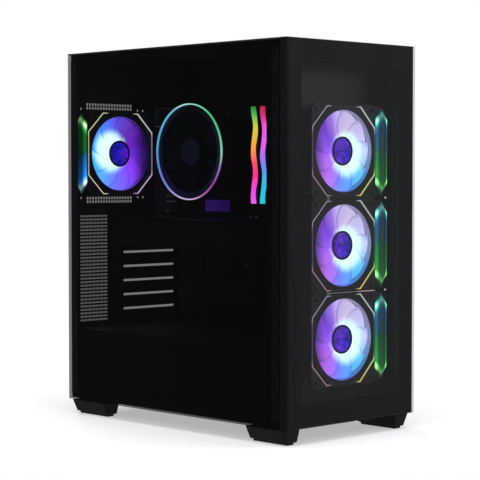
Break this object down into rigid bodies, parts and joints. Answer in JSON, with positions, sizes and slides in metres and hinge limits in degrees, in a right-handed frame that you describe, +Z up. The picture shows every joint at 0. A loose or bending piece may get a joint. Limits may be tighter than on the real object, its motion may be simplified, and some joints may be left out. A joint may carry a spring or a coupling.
{
  "type": "desktop computer tower",
  "caption": "Upright desktop computer tower with glass side and front, lit fans, and its board, cooler, memory, graphics card, supply and drives inside.",
  "frame": {"origin": "on the floor, at the centre of the outline of the case", "axes": "+Z up, -Y out of the front glass, -X out of the side glass"},
  "size_m": [0.238, 0.43, 0.502],
  "materials": {
    "black_steel": "fine powder coat, satin",
    "dark_glass": "polished tempered glass, dark tint",
    "front_dark_glass": "polished tempered glass, light tint with a black printed border",
    "black_plastic": "moulded, fine grain",
    "foot_rubber": "matt",
    "fan_blades": "translucent, lit from the hub",
    "light_guide": "clear diffusing light guide",
    "circuit_board": "solder mask over fibreglass",
    "anodised_aluminium": "black anodised",
    "plated_steel": "nickel plated",
    "supply_steel": "fine powder coat, matt",
    "cable_sleeve": "braided sleeve"
  },
  "bodies": {
    "chassis": {"base_pan": "black_steel", "board_heat_sinks": "anodised_aluminium", "board_power_lead": "cable_sleeve", "board_sockets": "black_plastic", "board_standoffs_and_screws": "plated_steel", "cable_ties": "black_plastic", "cooler_fan_frame": "black_plastic", "cooler_heat_sink": "anodised_aluminium", "cooler_light_ring": "light_guide", "drive_cage": "black_steel", "fan_and_slot_screws": "plated_steel", "fan_light_bars": "light_guide", "fan_light_lines": "light_guide", "feet": "black_plastic", "foot_pads": "foot_rubber", "front_fan_bay": "black_steel", "front_fan_frame_1": "black_plastic", "front_fan_frame_2": "black_plastic", "front_fan_frame_3": "black_plastic", "front_port_module": "circuit_board", "graphics_card_backplate": "anodised_aluminium", "graphics_card_board": "circuit_board", "graphics_card_bracket": "plated_steel", "graphics_card_heat_sink": "anodised_aluminium", "graphics_card_shroud": "black_plastic", "light_bar_holders": "black_plastic", "mains_inlet_and_switch_frame": "black_plastic", "memory_light_strips": "light_guide", "memory_sticks": "anodised_aluminium", "motherboard": "circuit_board", "motherboard_tray": "black_steel", "power_supply_case": "supply_steel", "power_supply_fan_frame": "black_plastic", "power_supply_shroud": "black_steel", "rear_fan_frame": "black_plastic", "rear_grille": "black_steel", "rear_panel": "black_steel", "rear_ports_and_shield": "plated_steel", "roof_plate": "black_steel", "slot_covers": "black_steel", "storage_drives": "supply_steel", "top_trim": "black_steel"},
    "front_panel": {"front_panel_frame": "black_plastic", "front_glass": "front_dark_glass"},
    "left_panel": {"left_glass_panel": "dark_glass", "left_panel_strips": "black_steel"},
    "right_panel": {"right_side_panel": "black_steel"},
    "top_dust_filter": {"top_filter": "black_plastic"},
    "bottom_dust_filter": {"bottom_filter": "black_plastic"},
    "power_key": {"power_button": "black_plastic"},
    "reset_key": {"reset_button": "black_plastic"},
    "front_fan_1": {"front_fan_rotor_1": "fan_blades"},
    "front_fan_2": {"front_fan_rotor_2": "fan_blades"},
    "front_fan_3": {"front_fan_rotor_3": "fan_blades"},
    "rear_fan": {"rear_fan_rotor": "fan_blades"},
    "cooler_fan": {"cooler_fan_rotor": "fan_blades"},
    "graphics_fan_1": {"graphics_card_fan_1": "black_plastic"},
    "graphics_fan_2": {"graphics_card_fan_2": "black_plastic"},
    "supply_fan": {"power_supply_fan_rotor": "black_plastic"},
    "mains_rocker": {"power_switch_rocker": "black_plastic"}
  },
  "joints": [
    {"name": "front_fan_1_spin", "type": "hinge", "parent": "chassis", "child": "front_fan_1", "pos_m": [0, -0.19, 0.1243], "axis": [0, 1, 0], "continuous": true},
    {"name": "front_fan_2_spin", "type": "hinge", "parent": "chassis", "child": "front_fan_2", "pos_m": [0, -0.19, 0.2443], "axis": [0, 1, 0], "continuous": true},
    {"name": "front_fan_3_spin", "type": "hinge", "parent": "chassis", "child": "front_fan_3", "pos_m": [0, -0.19, 0.3643], "axis": [0, 1, 0], "continuous": true},
    {"name": "rear_fan_spin", "type": "hinge", "parent": "chassis", "child": "rear_fan", "pos_m": [-0.0455, 0.2, 0.364], "axis": [0, 1, 0], "continuous": true},
    {"name": "cooler_fan_spin", "type": "hinge", "parent": "chassis", "child": "cooler_fan", "pos_m": [0.026, 0.114, 0.3665], "axis": [1, 0, 0], "continuous": true},
    {"name": "graphics_fan_1_spin", "type": "hinge", "parent": "chassis", "child": "graphics_fan_1", "pos_m": [0.011, 0.04155, 0.24], "axis": [0, 0, 1], "continuous": true},
    {"name": "graphics_fan_2_spin", "type": "hinge", "parent": "chassis", "child": "graphics_fan_2", "pos_m": [0.011, 0.14045, 0.24], "axis": [0, 0, 1], "continuous": true},
    {"name": "supply_fan_spin", "type": "hinge", "parent": "chassis", "child": "supply_fan", "pos_m": [0.013, 0.138, 0.04], "axis": [0, 0, 1], "continuous": true},
    {"name": "mains_rocker_tilt", "type": "hinge", "parent": "chassis", "child": "mains_rocker", "pos_m": [0.03, 0.207, 0.057], "axis": [1, 0, 0], "range_deg": [-16, 0]},
    {"name": "power_button_press", "type": "slide", "parent": "chassis", "child": "power_key", "axis": [0, 0, -1], "range_m": [0, 0.0015], "stiffness_N_per_m": 800},
    {"name": "reset_button_press", "type": "slide", "parent": "chassis", "child": "reset_key", "axis": [0, 0, -1], "range_m": [0, 0.001], "stiffness_N_per_m": 800},
    {"name": "front_panel_lift_off", "type": "slide", "parent": "chassis", "child": "front_panel", "axis": [0, -1, 0], "range_m": [0, 0.06]},
    {"name": "left_glass_lift_off", "type": "slide", "parent": "chassis", "child": "left_panel", "axis": [-1, 0, 0], "range_m": [0, 0.06]},
    {"name": "right_panel_lift_off", "type": "slide", "parent": "chassis", "child": "right_panel", "axis": [1, 0, 0], "range_m": [0, 0.06]},
    {"name": "top_filter_lift_off", "type": "slide", "parent": "chassis", "child": "top_dust_filter", "axis": [0, 0, 1], "range_m": [0, 0.04]},
    {"name": "bottom_filter_draw", "type": "slide", "parent": "chassis", "child": "bottom_dust_filter", "axis": [0, 1, 0], "range_m": [0, 0.15]}
  ]
}
